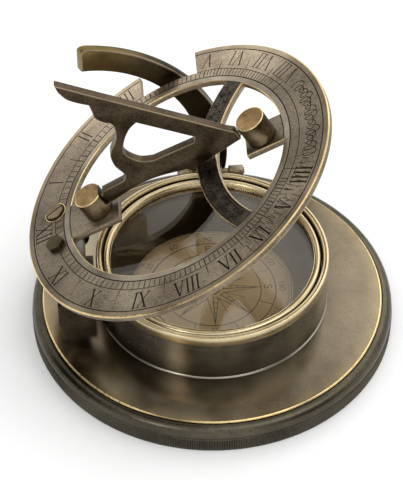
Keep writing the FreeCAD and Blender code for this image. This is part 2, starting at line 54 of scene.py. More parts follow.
GNOMON_LEFT, GNOMON_RIGHT, GNOMON_HALF = -23.3, 25.5, 1.5
ARC_OUTER, ARC_INNER = (-39.2, 29.7, 47.7), (-36.4, 34.1, 34.3)
ARC_END, ARC_NEAR, ARC_THICK, ARC_CORNER = -40.1, 46.0, 3.0, 2.4
ARC_FOOT_OUTER, ARC_FOOT_INNER = 19.5, 22.0
STAY_Y, STAY_Z, KNUCKLE, KNUCKLE_LEFT, KNUCKLE_RIGHT = 43.7, 22.8, 2.0, -4.0, 6.4

CENTRE_X = PIVOT_X + REACH * math.cos(TILT) - RISE * math.sin(TILT)
CENTRE_Z = PIVOT_Z + REACH * math.sin(TILT) + RISE * math.cos(TILT)
DIAL_PLACE = Matrix.Translation((CENTRE_X * MM, 0, CENTRE_Z * MM)) @ Matrix.Rotation(-TILT, 4, "Y")


# ---------------------------------------------------------------- materials

class Shader:
    """A node material with a principled surface."""

    def __init__(self, name, **constants):
        self.mat = bpy.data.materials.new(name)
        self.mat.use_nodes = True
        self.tree = self.mat.node_tree
        self.tree.nodes.clear()
        self.out = self.node("OutputMaterial")
        self.skin = self.node("BsdfPrincipled")
        self.link(self.skin, 0, self.out, 0)
        for socket, number in constants.items():
            self.skin.inputs[socket.replace("_", " ")].default_value = number
        self.place = self.node("TexCoord").outputs["Object"]

    def node(self, kind, **settings):
        made = self.tree.nodes.new("ShaderNode" + kind)
        for key, setting in settings.items():
            setattr(made, key, setting)
        return made

    def link(self, source, output, target, socket):
        start = source.outputs[output] if isinstance(output, (int, str)) else output
        self.tree.links.new(start, target.inputs[socket])

    def stretched(self, scale):
        mapping = self.node("Mapping")
        mapping.inputs["Scale"].default_value = scale
        self.tree.links.new(self.place, mapping.inputs["Vector"])
        return mapping.outputs[0]

    def noise(self, scale, detail=4.0, rough=0.55, stretch=None):
        made = self.node("TexNoise")
        made.inputs["Scale"].default_value = scale
        made.inputs["Detail"].default_value = detail
        made.inputs["Roughness"].default_value = rough
        self.tree.links.new(self.stretched(stretch) if stretch else self.place, made.inputs["Vector"])
        return made.outputs["Fac"]

    def spread(self, value, low, high, bottom=0.0, top=1.0):
        made = self.node("MapRange")
        for socket, number in zip(("From Min", "From Max", "To Min", "To Max"), (low, high, bottom, top)):
            made.inputs[socket].default_value = number
        self.tree.links.new(value, made.inputs["Value"])
        return made.outputs[0]

    def blend(self, factor, first, second):
        """Mixes two colours; either may be a plain triple."""
        made = self.node("Mix", data_type="RGBA")
        self.tree.links.new(factor, made.inputs[0])
        for socket, colour in ((6, first), (7, second)):
            if isinstance(colour, tuple):
                made.inputs[socket].default_value = (*colour, 1.0)
            else:
                self.tree.links.new(colour, made.inputs[socket])
        return made.outputs[2]

    def math(self, operation, first, second):
        made = self.node("Math", operation=operation)
        for socket, part in ((0, first), (1, second)):
            if isinstance(part, (int, float)):
                made.inputs[socket].default_value = part
            else:
                self.tree.links.new(part, made.inputs[socket])
        return made.outputs[0]

    def axis(self, name):
        made = self.node("SeparateXYZ")
        self.tree.links.new(self.place, made.inputs[0])
        return made.outputs[name]

    def radius(self):
        """Distance from the Z axis, in metres."""
        across = self.math("POWER", self.axis("X"), 2)
        return self.math("SQRT", self.math("ADD", across, self.math("POWER", self.axis("Y"), 2)), 0)

    def scaled(self, colour, factor):
        """A colour made darker or lighter by a number from 0 upwards."""
        made = self.node("VectorMath", operation="SCALE")
        self.tree.links.new(colour, made.inputs[0])
        self.tree.links.new(factor, made.inputs["Scale"])
        return made.outputs[0]

    def colour(self, source):
        self.tree.links.new(source, self.skin.inputs["Base Color"])

    def rough(self, source):
        self.tree.links.new(source, self.skin.inputs["Roughness"])

    def bump(self, height, strength, distance):
        made = self.node("Bump")
        made.inputs["Strength"].default_value = strength
        made.inputs["Distance"].default_value = distance
        self.tree.links.new(height, made.inputs["Height"])
        self.tree.links.new(made.outputs[0], self.skin.inputs["Normal"])


GLINT_SCALE = 2600


def brass(name, dark, light, rough=(0.28, 0.5), patch=70.0, grain=900.0, bump=0.15, fleck=0.5,
          stretch=(1, 1, 1), relief=0.00006, glint=0.0, wear_and_shading=None):
    """Aged brass: two tones in soft patches, dark flecks, bright glints, fine scratches and a slightly
    uneven face.  The last argument is a function that reworks the tone from place to place, for real
    wear and for painted light and shade."""
    made = Shader(name, Metallic=1.0)
    patches = made.spread(made.noise(patch, 6, 0.6), 0.33, 0.67)
    tone = made.blend(patches, dark, light)
    flecks = made.spread(made.noise(grain, 3, 0.7), 0.30, 0.48, fleck, 0.0)
    tone = made.blend(flecks, tone, tuple(c * 0.35 for c in dark))
    if glint:
        sparks = made.spread(made.noise(GLINT_SCALE, 2, 0.6), 0.55, 0.68, 0.0, glint)
        tone = made.blend(sparks, tone, (light[0] * 2.4, light[1] * 2.2, light[2] * 1.8))
    if wear_and_shading:
        tone = wear_and_shading(made, tone)
    made.colour(tone)
    fine = made.noise(grain * 0.6, 4, 0.7, stretch)
    made.rough(made.spread(made.math("ADD", patches, fine), 0.3, 1.6, *rough))
    made.bump(fine, bump, relief)
    return made.mat


def gilt(name, tone, rough=0.3):
    """Brass rubbed bright, as on a handled edge."""
    dark = tuple(c * 0.62 for c in tone)
    return brass(name, dark, tone, (rough - 0.08, rough + 0.12), 160, 1200, 0.1, 0.25)


def worn_edge(name, tone, dull):
    """An edge rubbed bright in some places and left dark in others."""
    made = Shader(name, Metallic=1.0)
    places = made.spread(made.noise(34, 3, 0.5), 0.32, 0.54)
    fine = made.noise(900, 3, 0.6)
    rubbed = made.math("MULTIPLY", places, made.spread(fine, 0.25, 0.5, 0.55, 1.0))
    made.colour(made.blend(rubbed, dull, tone))
    made.rough(made.spread(fine, 0.3, 0.7, 0.2, 0.4))
    made.bump(fine, 0.12, 0.00005)
    return made.mat


def dial_painted_light(made, tone):
    """Painted light and shade: the dial's colour is made palest on its far side and darkest on either side
    of the middle.
    """
    y = made.axis("Y")
    sides = made.spread(made.math("ABSOLUTE", y, 0), 0.012, 0.044, 0.84, 0.95)
    far = made.spread(y, 0.018, 0.044, 1.1, 2.3)
    return made.scaled(tone, made.math("MULTIPLY", sides, far))


def flange_wear_and_painted_light(made, tone):
    """Golden where hands rub, near the outer edge, with faint streaks round it.  The left side is painted
    lighter, and a pale painted reflection lies on the flange behind the hinge.
    """
    streaks = made.noise(260, 3, 0.6)
    edge = made.spread(made.radius(), 0.0515, 0.0562, 0.0, 0.6)
    tone = made.blend(made.math("MULTIPLY", edge, streaks), tone, (0.34, 0.26, 0.12))
    # Painted light: the colour is lightened towards the left side, which lies in shade.
    tone = made.scaled(tone, made.spread(made.axis("X"), -0.041, -0.03, 1.8, 1.0))
    # Painted reflection: a pale beige patch on the flange behind the hinge.
    painted_hinge_reflection = made.math("MULTIPLY", made.spread(made.axis("X"), -0.042, -0.03, 1.0, 0.0),
                             made.spread(made.axis("Y"), 0.004, 0.014, 0.0, 1.0))
    return made.blend(painted_hinge_reflection, tone, (0.46, 0.39, 0.27))


def wall_shade_and_lines(made, tone):
    """Painted shade darkens the foot of the wall, where it meets the flange; faint turning lines run round
    it.
    """
    # Painted shade: darker towards the foot of the wall.
    foot = made.spread(made.axis("Z"), 0.0105, 0.0175, 0.42, 1.0)
    lines = made.spread(made.noise(90, 4, 0.6, (0.2, 0.2, 14)), 0.3, 0.7, 0.8, 1.15)
    return made.scaled(tone, made.math("MULTIPLY", foot, lines))


def arc_wear_and_painted_shade(made, tone):
    """Rubbed golden at the free end; painted shade darkens it further down."""
    x = made.axis("X")
    gold = made.blend(made.noise(160, 4, 0.6), (0.11, 0.075, 0.026), (0.33, 0.235, 0.085))
    # Painted shade: darker further down the arc.
    tone = made.scaled(tone, made.spread(x, -0.034, -0.012, 1.0, 0.36))
    return made.blend(made.spread(x, -0.036, -0.02, 0.85, 0.0), tone, gold)


MAT = {
    "rim": brass("rim_patina", (0.052, 0.045, 0.031), (0.115, 0.101, 0.072), (0.2, 0.4), 60, 1100, 0.2),
    # Rubbed gold edge, with painted light on the left and a painted reflection behind the hinge.
    "flange": brass("flange_patina", (0.105, 0.083, 0.054), (0.185, 0.152, 0.106), (0.14, 0.28),
                    55, 1500, 0.06, 0.3, (1, 4, 1), wear_and_shading=flange_wear_and_painted_light),
    "floor": brass("case_floor", (0.05, 0.043, 0.033), (0.12, 0.105, 0.08), (0.3, 0.45),
                   50, 900, 0.05, 0.2),
    # The wall's colour carries painted shade at its foot.
    "case": brass("case_patina", (0.22, 0.207, 0.18), (0.42, 0.4, 0.35), (0.14, 0.28),
                  50, 1500, 0.0, 0.05, wear_and_shading=wall_shade_and_lines),
    "hinge": brass("hinge_patina", (0.06, 0.055, 0.045), (0.2, 0.185, 0.16), (0.2, 0.36),
                   90, 1100, 0.15, 0.4),
    # Painted highlight: a pale line of colour along the foot of the wall.
    "foot": brass("foot_line", (0.14, 0.125, 0.1), (0.5, 0.46, 0.38), (0.16, 0.3), 25, 1300, 0.02, 0.1),
    "bright": brass("bright_brass", (0.5, 0.395, 0.225), (0.8, 0.67, 0.43), (0.18, 0.3),
                    45, 1300, 0.0, 0.05),
    # The dial, border and moulding colours below carry painted light and shade, palest on the dial's far
    # side.
    "dial": brass("dial_patina", (0.1, 0.077, 0.056), (0.335, 0.278, 0.205), (0.28, 0.5),
                  48, 1100, 0.5, 0.6, relief=0.0001, glint=0.3, wear_and_shading=dial_painted_light),
    "border": brass("dial_border", (0.12, 0.09, 0.057), (0.34, 0.275, 0.185), (0.26, 0.42),
                    45, 1300, 0.3, 0.4, wear_and_shading=dial_painted_light),
    "moulding": brass("dial_moulding", (0.1, 0.078, 0.055), (0.42, 0.36, 0.275), (0.24, 0.4),
                      28, 1300, 0.2, 0.3, wear_and_shading=dial_painted_light),
    "band": brass("band_patina", (0.03, 0.025, 0.019), (0.12, 0.1, 0.078), (0.3, 0.5),
                  300, 900, 0.6, 0.6, relief=0.00015),
    "groove": brass("engraved_dark", (0.024, 0.018, 0.013), (0.075, 0.058, 0.04), (0.45, 0.7),
                    200, 1500, 0.1),
    "gnomon": brass("gnomon_patina", (0.028, 0.02, 0.013), (0.095, 0.07, 0.045), (0.28, 0.5),
                    130, 700, 0.8, 0.6, relief=0.0002, glint=0.5),
    "style": brass("style_patina", (0.036, 0.026, 0.016), (0.105, 0.076, 0.047), (0.28, 0.44),
                   90, 900, 0.5, 0.5, relief=0.00012, glint=0.4),
    "knob": brass("knob_side", (0.08, 0.062, 0.034), (0.25, 0.19, 0.11), (0.22, 0.4),
                  140, 1100, 0.25, 0.4),
    "knob_top": brass("knob_top", (0.15, 0.092, 0.038), (0.42, 0.27, 0.12), (0.26, 0.42),
                      190, 1100, 0.3, 0.45, (1, 7, 1)),
    "bracket": brass("bracket_brass", (0.19, 0.155, 0.105), (0.38, 0.32, 0.23), (0.28, 0.44),
                     150, 1100, 0.2, 0.4),
    # The arc's colour carries painted shade further down.
    "arc": brass("arc_patina", (0.06, 0.045, 0.026), (0.2, 0.15, 0.08), (0.26, 0.44),
                 60, 1100, 0.25, 0.4, wear_and_shading=arc_wear_and_painted_shade),
    "screw": brass("screw_patina", (0.15, 0.115, 0.075), (0.33, 0.25, 0.15), (0.3, 0.5), 250, 1500, 0.3),
    "edge": worn_edge("worn_edge", (0.85, 0.64, 0.31), (0.22, 0.16, 0.085)),
    "gold": gilt("rubbed_gold", (0.86, 0.66, 0.34), 0.26),
    "soft_edge": gilt("rubbed_edge", (0.3, 0.235, 0.15), 0.36),
    "steel": brass("dark_steel", (0.12, 0.12, 0.125), (0.25, 0.25, 0.26), (0.25, 0.4), 200, 1500, 0.1),
}


def paper(name, tone, blot):
    made = Shader(name, Roughness=0.75)
    stains = made.spread(made.noise(60, 5, 0.6), 0.35, 0.7)
    made.colour(made.blend(stains, tone, blot))
    made.bump(made.noise(2500, 2), 0.15, 0.00003)
    return made.mat


MAT["card"] = paper("card_paper", (0.53, 0.44, 0.325), (0.4, 0.31, 0.21))
MAT["ink"] = paper("card_ink", (0.03, 0.026, 0.022), (0.075, 0.062, 0.05))


def window():
    """Thin clear glass: it reflects by angle and otherwise lets light straight through."""
    made = Shader("window_glass")
    clear = made.node("BsdfTransparent")
    clear.inputs[0].default_value = (0.88, 0.85, 0.78, 1)
    shine = made.node("BsdfGlossy")
    shine.inputs["Color"].default_value = (0.95, 0.9, 0.82, 1)
    shine.inputs["Roughness"].default_value = 0.02
    facing = made.node("LayerWeight")
    facing.inputs["Blend"].default_value = 0.5
    grazing = made.math("POWER", facing.outputs["Facing"], 4)
    film = made.spread(made.axis("X"), -0.03, 0.015, 0.045, 0.085)
    smear = made.math("MULTIPLY", film, made.spread(made.noise(45, 4), 0.3, 0.7, 0.85, 1.2))
    mixed = made.node("MixShader")
    made.tree.links.new(made.math("ADD", grazing, smear), mixed.inputs[0])
    made.link(clear, 0, mixed, 1)
    made.link(shine, 0, mixed, 2)
    made.link(mixed, 0, made.out, 0)
    made.tree.nodes.remove(made.skin)
    return made.mat


MAT["glass"] = window()


# ---------------------------------------------------------------- mesh tools

def mesh_object(name, points, faces, marks, materials, place=None, sharp=35.0):
    """An object from points in millimetres; marks gives each face its material number."""
    mesh = bpy.data.meshes.new(name)
    mesh.from_pydata([tuple(c * MM for c in p) for p in points], [], faces)
    for key in materials:
        mesh.materials.append(MAT[key])
    mesh.polygons.foreach_set("material_index", marks)
    if place is not None:
        mesh.transform(place)
    obj = bpy.data.objects.new(name, mesh)
    bpy.context.scene.collection.objects.link(obj)
    tidy_mesh(obj, sharp)
    return obj


def tidy_mesh(obj, sharp=35.0):
    """Outward normals, smooth faces and hard edges where the surface turns sharply."""
    work = bmesh.new()
    work.from_mesh(obj.data)
    bmesh.ops.recalc_face_normals(work, faces=work.faces)
    work.to_mesh(obj.data)
    work.free()
    obj.data.shade_smooth()
    obj.data.set_sharp_from_angle(angle=math.radians(sharp))


def round_corners(corners, steps=4):
    """Turns (r, z, radius, edge) corners of a closed section into points with rounded corners.

    Each point is (r, z, mark), and mark is the material of the face that starts there."""
    points = []
    count = len(corners)
    for i, (r, z, radius, edge) in enumerate(corners):
        here = Vector((r, z))
        back = Vector(corners[i - 1][:2]) - here
        ahead = Vector(corners[(i + 1) % count][:2]) - here
        if radius <= 0:
            points.append((r, z, edge))
            continue
        half = back.angle(ahead) / 2
        reach = radius / math.tan(half)
        middle = here + (back.normalized() + ahead.normalized()).normalized() * (radius / math.sin(half))
        first = here + back.normalized() * reach - middle
        last = here + ahead.normalized() * reach - middle
        turn = first.angle_signed(last)
        for k in range(steps + 1):
            spot = middle + Matrix.Rotation(-turn * k / steps, 2) @ first
            points.append((spot.x, spot.y, edge if k < steps else 0))
    return points


def lathe(name, section, materials, segments=256, place=None, centre=(0, 0), span=None, knurl=False,
          sharp=35.0):
    """Turns a closed section of (r, z, mark) about Z; knurl cuts every other row of the rim's band."""
    points, faces, marks = [], [], []
    count = len(section)
    whole = span is None
    start, stop = (0.0, 2 * math.pi) if whole else span
    rows = segments if whole else segments + 1
    for j in range(rows):
        angle = start + (stop - start) * j / segments
        for r, z, _ in section:
            if knurl and j % 2 and KNURL_LOW <= z <= KNURL_HIGH and r > RIM - 1:
                r -= KNURL_DEPTH
            points.append((centre[0] + r * math.cos(angle), centre[1] + r * math.sin(angle), z))
    for j in range(segments):
        after = (j + 1) % rows
        for i in range(count):
            k = (i + 1) % count
            faces.append((j * count + i, after * count + i, after * count + k, j * count + k))
            marks.append(section[i][2])
    if not whole:
        faces.append(tuple(range(count)))
        faces.append(tuple(range(segments * count, rows * count))[::-1])
        marks += [0, 0]
    made = mesh_object(name, points, faces, marks, materials, place, sharp)
    if whole and min(r for r, _, _ in section) <= 0:
        work = bmesh.new()
        work.from_mesh(made.data)
        bmesh.ops.remove_doubles(work, verts=work.verts, dist=1e-7)
        work.to_mesh(made.data)
        work.free()
        tidy_mesh(made, sharp)
    return made


def smooth_line(points, steps=6):
    """A flowing line through points, without its last point."""
    line = []
    last = len(points) - 1
    for i in range(last):
        a, b, c, d = (Vector(points[min(max(k, 0), last)]) for k in (i - 1, i, i + 1, i + 2))
        for k in range(steps):
            t = k / steps
            line.append(0.5 * (2 * b + (c - a) * t + (2 * a - 5 * b + 4 * c - d) * t ** 2
                               + (3 * b - a - 3 * c + d) * t ** 3))
    return line


def offset_loop(loop, distance):
    """The loop moved inwards (to its left) by distance, mitred at its corners."""
    moved = []
    count = len(loop)
    for i, point in enumerate(loop):
        before = (point - loop[i - 1]).normalized()
        after = (loop[(i + 1) % count] - point).normalized()
        left = Vector((-before.y - after.y, before.x + after.x))
        if left.length < 1e-6:
            left = Vector((-before.y, before.x))
        left.normalize()
        slope = max(0.45, left.dot(Vector((-before.y, before.x))))
        moved.append(point + left * (distance / slope))
    return moved


def area_of(loop):
    return sum(a.x * b.y - b.x * a.y for a, b in zip(loop, loop[1:] + loop[:1])) / 2


def slab(name, outer, holes, low, high, bevel, materials, place=None, stand=None, edge=1, wall=0):
    """A plate with rounded edges from flat loops; stand maps (u, v, w) to a point."""
    stand = stand or (lambda u, v, w: (u, v, w))
    loops = [outer if area_of(outer) > 0 else outer[::-1]]
    loops += [hole if area_of(hole) < 0 else hole[::-1] for hole in holes]
    layers = [(bevel, low), (bevel * 0.3, low + bevel * 0.3), (0.0, low + bevel), (0.0, high - bevel),
              (bevel * 0.3, high - bevel * 0.3), (bevel, high)]
    points, faces, marks = [], [], []
    rings = []
    for loop in loops:
        rows = []
        for inset, w in layers:
            rows.append(range(len(points), len(points) + len(loop)))
            points += [stand(p.x, p.y, w) for p in offset_loop(loop, inset)]
        rings.append(rows)
        for n in range(len(layers) - 1):
            for i in range(len(loop)):
                k = (i + 1) % len(loop)
                faces.append((rows[n][i], rows[n][k], rows[n + 1][k], rows[n + 1][i]))
                marks.append(wall if n == 2 else edge)
    for layer, flip in ((0, True), (len(layers) - 1, False)):
        inset = layers[layer][0]
        flat = [[Vector((p.x, p.y, 0)) for p in offset_loop(loop, inset)] for loop in loops]
        numbers = [index for rows in rings for index in rows[layer]]
        for triangle in tessellate_polygon(flat):
            face = [numbers[i] for i in triangle]
            faces.append(tuple(face[::-1] if flip else face))
            marks.append(0)
    return mesh_object(name, points, faces, marks, materials, place)


def apply_modifiers(obj):
    graph = bpy.context.evaluated_depsgraph_get()
    graph.update()
    obj.data = bpy.data.meshes.new_from_object(obj.evaluated_get(graph))
    obj.modifiers.clear()


def combine(target, tool, operation="DIFFERENCE"):
    """Joins or cuts a solid with another one, which is used up."""
    modifier = target.modifiers.new("cut", "BOOLEAN")
    modifier.operation = operation
    modifier.solver = "MANIFOLD"
    modifier.object = tool
    modifier.material_mode = "TRANSFER"
    bpy.context.view_layer.update()
    apply_modifiers(target)
    bpy.data.objects.remove(tool)
    return target


def merge(name, objects):
    """Several objects as one, left as separate shells."""
    materials, work = [], bmesh.new()
    for obj in objects:
        numbers = []
        for mat in obj.data.materials:
            if mat not in materials:
                materials.append(mat)
            numbers.append(materials.index(mat))
        part = obj.data.copy()
        part.transform(obj.matrix_world)
        before = len(work.faces)
        work.from_mesh(part)
        work.faces.ensure_lookup_table()
        for face in work.faces[before:]:
            face.material_index = numbers[face.material_index]
        bpy.data.meshes.remove(part)
        bpy.data.objects.remove(obj)
    mesh = bpy.data.meshes.new(name)
    work.to_mesh(mesh)
    work.free()
    for mat in materials:
        mesh.materials.append(mat)
    made = bpy.data.objects.new(name, mesh)
    bpy.context.scene.collection.objects.link(made)
    return made


def settle(obj, body, slot, *nodes):
    """The finished piece: what it rides on and the CAD nodes it stands for; slot, its finish, is not used.
    """
    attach(obj, body)
    if nodes:
        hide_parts(*nodes)
    return obj


# ---------------------------------------------------------------- base

def make_rim():
    corners = [(52, 0, 0, 0), (59.7, 0, 0, 0), (60, 0.3, 0, 0), (60, 4.7, 0, 0), (59.6, 5.0, 0, 0),
               (59.6, 5.5, 0, 0), (59.8, 5.8, 0, 0), (59.8, 9.15, 2.9, 0), (CROWN, 9.15, 0, 0),
               (CROWN, 7.8, 0, 0), (48.2, 7.8, 0, 0), (48.2, 1.8, 0, 0), (52, 1.8, 0, 0)]
    section = round_corners(corners, 8)
    rim = lathe("rim", section, ["rim"], 2 * KNURL_TEETH, knurl=True)
    return settle(rim, "base", "rim_brass", "knurled_rim")


def make_flange():
    corners = [(38.2, 7.8, 0, 0), (FLANGE, 7.8, 0, 0), (FLANGE, FLANGE_TOP, 0.55, 1),
               (38.2, FLANGE_TOP, 0, 0)]
    plate = lathe("flange", round_corners(corners), ["flange", "edge"])
    return settle(plate, "base", "flange_brass", "flange_plate")


def make_case():
    # The short faces marked 1 at the wall's foot take a painted highlight.
    corners = [(0.8, 3.6, 0, 0), (WALL, 3.6, 0, 0), (WALL, 6, 0, 0), (41, 6, 0, 0), (41, 7.8, 0, 0),
               (WALL, 7.8, 0, 0), (WALL, FLANGE_TOP, 0, 0), (38.5, 9.81, 0, 1), (38.42, 10.0, 0, 1),
               (WALL, 10.25, 0, 0), (WALL, CASE_TOP, 0, 0), (36.3, CASE_TOP, 0, 2), (36.3, 5.3, 0, 2),
               (0.8, 5.3, 0, 0)]
    case = lathe("compass_wall", round_corners(corners), ["case", "foot", "floor"])
    return settle(case, "base", "case_brass", "compass_case")


def make_bezel():
    outer = round_corners([
        (33.8, 23.2, 0, 0), (36.25, 23.2, 0, 0), (36.25, CASE_TOP, 0, 0), (WALL, CASE_TOP, 0.15, 0),
        (WALL, BEZEL_TOP, 0.45, 0), (37.25, BEZEL_TOP, 0.1, 1), (37.05, 27.75, 0.08, 1),
        (36.8, 28.15, 0.1, 0), (36.25, 28.1, 0.12, 1), (36.1, 27.6, 0, 1), (BEZEL_BORE, 27.7, 0, 1),
        (BEZEL_BORE, 24.2, 0, 0),
        (33.8, 24.2, 0, 0)], 3)
    bezel = lathe("bezel", outer, ["bright", "groove"], sharp=50)
    settle(bezel, "base", "bright_brass", "bezel_ring")
    dome = []
    for k in range(9):
        share = k / 8
        r = 35.45 - 1.75 * share
        dome.append((r, 27.1 + 0.8 * math.sin(math.pi * (0.12 + 0.76 * share)), 0))
    inner = [(33.2, 25.8, 0), (35.7, 25.8, 0), (35.7, 27.0, 0)] + dome
    inner += [(33.6, 27.25, 1), (33.5, 27.05, 0), (33.4, 27.35, 0), (33.28, 27.4, 0), (33.2, 27.3, 0)]
    lip = lathe("glass_retainer", inner, ["bright", "groove"], sharp=40)
    settle(lip, "base", "bright_brass", "retaining_ring")


# ---------------------------------------------------------------- hour ring

def arc_line(radius, start, stop, centre=(0, 0), steps=24):
    """Points along a circle, angles in degrees."""
    line = []
    for k in range(steps + 1):
        angle = math.radians(start + (stop - start) * k / steps)
        line.append(Vector((centre[0] + radius * math.cos(angle), centre[1] + radius * math.sin(angle))))
    return line


class Engraver:
    """Collects cuts in the dial's face by layer; cuts in one layer never touch each other."""

    def __init__(self):
        self.layers = {}

    def cut(self, layer, line, width, depth, end_width=None, closed=False):
        """A groove along a flat line, wide at the face and narrow at its floor."""
        points, faces = self.layers.setdefault(layer, ([], []))
        start = len(points)
        count = len(line)
        for i, spot in enumerate(line):
            before = line[i - 1] if i or closed else spot
            after = line[(i + 1) % count] if i < count - 1 or closed else spot
            along = (after - before).normalized()
            side = Vector((-along.y, along.x))
            share = i / max(1, count - 1)
            half = (width + ((end_width or width) - width) * share) / 2
            mouth, floor = half * 1.3, half * 0.35
            for offset, z in ((-mouth, 0.12), (mouth, 0.12), (floor, -depth), (-floor, -depth)):
                points.append((spot.x + side.x * offset, spot.y + side.y * offset, z))
        for i in range(count if closed else count - 1):
            k = (i + 1) % count
            for a in range(4):
                b = (a + 1) % 4
                faces.append((start + 4 * i + a, start + 4 * k + a, start + 4 * k + b, start + 4 * i + b))
        if not closed:
            faces.append(tuple(start + a for a in range(4)))
            faces.append(tuple(start + 4 * (count - 1) + a for a in (3, 2, 1, 0)))

    def apply(self, target):
        for layer in sorted(self.layers):
            points, faces = self.layers[layer]
            tool = mesh_object(f"cutter_{layer}", points, faces, [0] * len(faces), ["groove"])
            combine(target, tool)


def face_spot(radius, angle):
    """A point on the dial face at a polar angle in degrees."""
    return Vector((radius * math.cos(math.radians(angle)), radius * math.sin(math.radians(angle))))


def engrave_numeral(tool, text, angle, weight=1.0):
    """A Roman numeral with its head towards the dial's centre."""
    middle, height, gap = 48.0, 5.8, 0.55
    widths = {"I": 1.15, "V": 3.3, "X": 3.4}
    total = sum(widths[c] for c in text) + gap * (len(text) - 1)
    up = -face_spot(1, angle)
    right = Vector((up.y, -up.x))
    origin = face_spot(middle, angle) - right * total / 2 - up * height / 2

    def at(u, v):
        return origin + right * u + up * v

    def stroke(layer, a, b, width):
        tool.cut(layer, [at(*a), at(*b)], width * weight, 0.42 * weight)

    def serif(u, v, half):
        tool.cut(5, [at(u - half, v), at(u + half, v)], 0.26 * weight, 0.25 * weight)

    cursor = 0.0
    for letter in text:
        wide = widths[letter]
        if letter == "I":
            stroke(3, (cursor + wide / 2, 0), (cursor + wide / 2, height), 0.5)
            serif(cursor + wide / 2, 0, 0.7)
            serif(cursor + wide / 2, height, 0.7)
        else:
            foot = cursor + wide / 2
            ends = ((cursor + 0.3, height), (cursor + wide - 0.3, height))
            if letter == "V":
                stroke(3, ends[0], (foot, 0), 0.55)
                stroke(4, ends[1], (foot, 0), 0.27)
            else:
                stroke(3, ends[0], (cursor + wide - 0.3, 0), 0.55)
                stroke(4, ends[1], (cursor + 0.3, 0), 0.27)
                serif(cursor + 0.3, 0, 0.55)
                serif(cursor + wide - 0.3, 0, 0.55)
            serif(cursor + 0.3, height, 0.6)
            serif(cursor + wide - 0.3, height, 0.6)
        cursor += wide + gap


BORDER, SCALE, SCALE_RING, TICK_INNER, TICK_OUTER = 51.8, 40.6, 43.7, 44.1, 47.3
HOURS = (0.0, 26.0, 49.3, 71.9, 91.1, 109.2, 123.0, 137.0, 150.7)
NEAR = (None, "XI", "X", "IX", "VIII", "VII", "VI", "V", "IIII")
FAR = (None, "I", "II", "III", None, "V", "VI", "VII", "VIII")


def engrave_dial(ring):
    tool = Engraver()
    for radius, width in ((BORDER, 0.36), (SCALE_RING, 0.25), (SCALE, 0.4)):
        tool.cut(0, arc_line(radius, 0, 360, steps=288)[:-1], width, 0.24, closed=True)
    for start, stop in ((169.2, 190.8), (-7.8, 8.8), (46.3, 55.8), (-59.8, -50.3)):
        tool.cut(0, arc_line(DIAL_BORE, start, stop, steps=20), 0.3, 0.2)
    for side in (-1, 1):
        for hour, (start, stop) in enumerate(zip(HOURS, HOURS[1:])):
            for part in range(8):
                share = start + (stop - start) * part / 8
                if hour == 0 and part == 0 and side > 0:
                    continue
                angle = 180 + side * share
                width, deep = (0.24, 0.22) if part % 4 else (0.34, 0.3)
                line = [face_spot(SCALE + 0.4, angle), face_spot(SCALE_RING - 0.2, angle)]
                tool.cut(1, line, width, deep)
            middle = 180 + side * (start + stop) / 2
            tool.cut(1, [face_spot(TICK_INNER, middle), face_spot(TICK_OUTER, middle)], 0.3, 0.28, 0.2)
        labels, weight = (NEAR, 1.0) if side > 0 else (FAR, 0.72)
        for share, text in zip(HOURS, labels):
            if text:
                engrave_numeral(tool, text, 180 + side * share, weight)
        last = 180 + side * 153.9
        tool.cut(1, [face_spot(SCALE + 0.4, last), face_spot(BORDER - 0.4, last)], 0.25, 0.22)
    engrave_numeral(tool, "XII", 180)
    tool.cut(2, arc_line(SLOTTED_GROOVE, 0, 360, SLOTTED, 48)[:-1], 0.5, 0.3, closed=True)
    engrave_scroll(tool)
    engrave_band(tool)
    tool.apply(ring)


def engrave_scroll(tool):
    """A looped flourish opposite the hinge and scratches beside it."""
    loops, steps = 15, 24
    for k in range(loops * 2):
        line = []
        for m in range(steps // 2 + 1):
            phase = k + 2 * m / steps
            rise = 1.6 + 0.7 * math.sin(0.9 * phase) + 0.4 * math.sin(2.3 * phase)
            angle = -19.5 + 39 * phase / (loops * 2) - 1.5 * math.sin(math.pi * phase)
            line.append(face_spot(47.9 - rise * math.cos(math.pi * phase), angle))
        tool.cut(10 + k % 4, line, 0.3, 0.26)
    for k in range(44):
        angle = 297 + 1.05 * k
        start = 45.0 + 1.0 * math.sin(2.4 * k) + (2.2 if k % 3 == 0 else 0)
        stop = start + 2.4 + 1.4 * math.cos(1.7 * k) ** 2
        lean = 0.75 * math.sin(3.1 * k)
        tool.cut(14 + k % 3, [face_spot(start, angle), face_spot(stop, angle + lean)], 0.26, 0.2, 0.16)


def engrave_band(tool):
    """Curls and small leaves down the curved cross band, between two fine border lines."""
    for radius in (BAND_INNER + 0.75, BAND_OUTER - 0.75):
        tool.cut(6, arc_line(radius, 140, 216, BAND_CENTRE, 60), 0.2, 0.16)
    for k in range(31):
        angle = math.radians(141 + 74 * k / 30)
        swing = 1 if k % 2 else -1
        for side in (-1, 1):
            reach = (BAND_INNER + BAND_OUTER) / 2 + side * 1.25
            middle = Vector(BAND_CENTRE) + Vector((math.cos(angle), math.sin(angle))) * reach
            curl = []
            for m in range(12):
                turn = angle + math.radians(swing * side * (20 + 28 * m))
                curl.append(middle + Vector((math.cos(turn), math.sin(turn))) * (0.98 - 0.055 * m))
            tool.cut(7, curl, 0.34, 0.34, 0.22)


def finish_zones(ring):
    """The rubbed border outside the outer line and the dark cross band have finishes of their own."""
    for key in ("border", "band", "moulding"):
        ring.data.materials.append(MAT[key])
    border = len(ring.data.materials) - 3
    band, moulding = border + 1, border + 2
    for face in ring.data.polygons:
        x, y = face.center.x / MM, face.center.y / MM
        if face.material_index != 0 or face.normal.z < 0.99 or face.center.z < -0.5 * MM:
            continue
        reach = math.hypot(x, y)
        along_band = BAND_INNER < math.hypot(x - BAND_CENTRE[0], y - BAND_CENTRE[1]) < BAND_OUTER
        if reach > BORDER:
            face.material_index = border
        elif DIAL_BORE < reach < SCALE:
            face.material_index = moulding
        elif reach < DIAL_BORE and along_band:
            face.material_index = band


